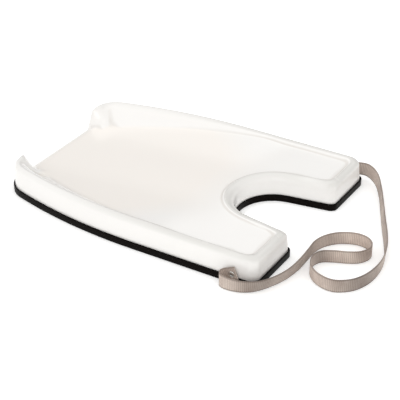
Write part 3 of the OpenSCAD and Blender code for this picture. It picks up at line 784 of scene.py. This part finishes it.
# %% Turn the rivets, pins, spacers and washers
SHANK_RADIUS = 0.0024
BORE_RADIUS = 0.00135
HEAD_RADIUS = 0.00475
HEAD_HEIGHT = 0.0016
HEAD_RIM = 0.0004
TAIL_RADIUS = 0.0035
TAIL_SWELL = 0.001
MOUTH_DEPTH = 0.0006
PIN_ROOM = 0.00005
SNAP_SHARE = 0.7
BREAK_EDGE = 0.0002
DOME_TURNS = [math.radians(a) for a in (22, 33, 44, 55, 66, 77, 90)]

for side, end in (("near", near_end), ("far", far_end)):
    tail, top, _ = sizes_along(side + "_rivet", end)
    seat = top - HEAD_HEIGHT
    washer_low, washer_high, washer_radius = sizes_along(side + "_backing_washer", end)
    spacer_low, spacer_high, spacer_radius = sizes_along(side + "_spacer_washer", end)
    pin_low, pin_high, _ = sizes_along(side + "_rivet_pin", end)
    dome_low = seat + HEAD_RIM
    dome_rise = HEAD_HEIGHT - HEAD_RIM
    dome = [(HEAD_RADIUS * math.sin(a), dome_low + dome_rise * math.cos(a)) for a in DOME_TURNS]
    shank = [(HEAD_RADIUS, seat + BREAK_EDGE), (HEAD_RADIUS - BREAK_EDGE, seat), (SHANK_RADIUS, seat),
             (SHANK_RADIUS, washer_low), (SHANK_RADIUS + BREAK_EDGE, washer_low),
             (TAIL_RADIUS, washer_low - TAIL_SWELL), (TAIL_RADIUS, tail + 2 * BREAK_EDGE),
             (TAIL_RADIUS - 2 * BREAK_EDGE, tail), (BORE_RADIUS, tail)]
    mouth = [(BORE_RADIUS, dome[0][1] - MOUTH_DEPTH), (BORE_RADIUS + BREAK_EDGE, dome[0][1] - BREAK_EDGE)]
    pin_radius = BORE_RADIUS - PIN_ROOM
    pin = [(SHANK_RADIUS - BREAK_EDGE, pin_low), (SHANK_RADIUS, pin_low + BREAK_EDGE), (pin_radius, tail),
           (pin_radius, pin_high - BREAK_EDGE), (pin_radius * SNAP_SHARE, pin_high)]
    spacer = ring_profile(SHANK_RADIUS, spacer_radius, spacer_low, spacer_high, BREAK_EDGE)
    washer = ring_profile(SHANK_RADIUS, washer_radius, washer_low, washer_high, BREAK_EDGE)
    made = [
        (turned(side + "_blind_rivet", [*mouth, *dome, *shank], end), "_rivet", "rivet_metal", aluminium),
        (turned(side + "_pulled_pin", pin, end, solid=True), "_rivet_pin", "pin_steel", zinc_steel),
        (turned(side + "_spacer", spacer, end), "_spacer_washer", "spacer_plastic", nylon),
        (turned(side + "_washer", washer, end), "_backing_washer", "rivet_metal", aluminium)]
    for piece, node, slot, finish in made:
        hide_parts(side + node)
        piece.data.materials.append(finish)
    print(side, "rivet, pin, spacer and washer:", [len(piece.data.polygons) for piece, *_ in made], "faces")

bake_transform(near_webbing)
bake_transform(far_webbing)
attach(free_webbing, "tray")
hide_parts("near_strap_end")
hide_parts("far_strap_end")
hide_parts("strap_webbing")

# %% [markdown]
# ## The floor and the light
# A glossy white object shows its shape by what it mirrors as well as by the light that falls on it, and
# lamps alone would leave it flat. This studio is a tent of pale cloth, lit evenly all round, but for a dim
# wall at the back. Level surfaces mirror the top of that wall, slopes that face the front mirror the pale
# cloth, and one weak lamp at the front reaches into the neck cut-out. The floor shines a little to the eye
# and to mirrors alone, which makes it white without more light on the tray, and it keeps the shadow.

# %% Lamp and room
ROOM_LEVEL = 1.05
BACK_WALL_LEVEL = 0.16
BACK_WALL_TOP = (math.sin(math.radians(24)), math.sin(math.radians(34)))
BACK_WALL_SIDE = (0.15, 0.95)
KEY_PLACE = Vector((1.0, -2.1, 1.6))
KEY_WATTS = 5
KEY_SIZE = 0.8

key_data = bpy.data.lights.new("key", "AREA")
key_data.energy = KEY_WATTS
key_data.size = KEY_SIZE
key = bpy.data.objects.new("key", key_data)
bpy.context.scene.collection.objects.link(key)
key.location = KEY_PLACE
key.rotation_euler = KEY_PLACE.to_track_quat("Z", "Y").to_euler()
bpy.context.scene.view_settings.view_transform = "Standard"

room = bpy.data.worlds.new("studio")
room.use_nodes = True
room.node_tree.nodes.clear()
tree = room.node_tree
way = add_node(tree, "ShaderNodeSeparateXYZ", {0: add_node(tree, "ShaderNodeTexCoord").outputs["Generated"]})
below = add_node(tree, "ShaderNodeMapRange",
                 {"Value": way.outputs[2], "From Min": BACK_WALL_TOP[0], "From Max": BACK_WALL_TOP[1],
                  "To Min": 1.0, "To Max": 0.0}, interpolation_type="SMOOTHSTEP")
behind = add_node(tree, "ShaderNodeMapRange",
                  {"Value": way.outputs[1], "From Min": BACK_WALL_SIDE[0], "From Max": BACK_WALL_SIDE[1]},
                  interpolation_type="SMOOTHSTEP")
wall = add_node(tree, "ShaderNodeMath", {0: below.outputs[0], 1: behind.outputs[0]}, operation="MULTIPLY")
level = add_node(tree, "ShaderNodeMapRange",
                 {"Value": wall.outputs[0], "To Min": ROOM_LEVEL, "To Max": BACK_WALL_LEVEL})
glow = add_node(tree, "ShaderNodeBackground", {"Color": linear("FFFFFF"), "Strength": level.outputs[0]})
add_node(tree, "ShaderNodeOutputWorld", {"Surface": glow.outputs[0]})
bpy.context.scene.world = room
print(f"key lamp {KEY_WATTS} W, room {ROOM_LEVEL}, back wall {BACK_WALL_LEVEL}")

# %% Floor
FLOOR_LIFT = 0.28
FLOOR_SIZE = 14
FLOOR_DROP = 0.0003

bpy.ops.object.select_all(action="DESELECT")
bpy.ops.mesh.primitive_plane_add(size=FLOOR_SIZE, location=(0, 0, -FLOOR_DROP))
floor = bpy.context.object
floor.name = "floor"
pale_floor, tree = start_finish("pale_floor")
ray = add_node(tree, "ShaderNodeLightPath").outputs
sharp = add_node(tree, "ShaderNodeMath", {0: ray["Is Camera Ray"], 1: ray["Is Glossy Ray"]},
                 operation="MAXIMUM")
seen = add_node(tree, "ShaderNodeMath", {0: sharp.outputs[0], 1: ray["Is Transmission Ray"]},
                operation="MAXIMUM")
lift = add_node(tree, "ShaderNodeMath", {0: seen.outputs[0], 1: FLOOR_LIFT}, operation="MULTIPLY")
matt = add_node(tree, "ShaderNodeBsdfDiffuse", {"Color": linear("F8F8F7")})
shine = add_node(tree, "ShaderNodeEmission", {"Color": linear("FFFFFF"), "Strength": lift.outputs[0]})
both = add_node(tree, "ShaderNodeAddShader", {0: matt.outputs[0], 1: shine.outputs[0]})
add_node(tree, "ShaderNodeOutputMaterial", {"Surface": both.outputs[0]})
floor.data.materials.append(pale_floor)
print("floor", floor.dimensions.x, "m wide")

# %% Finish
print("scene finished")
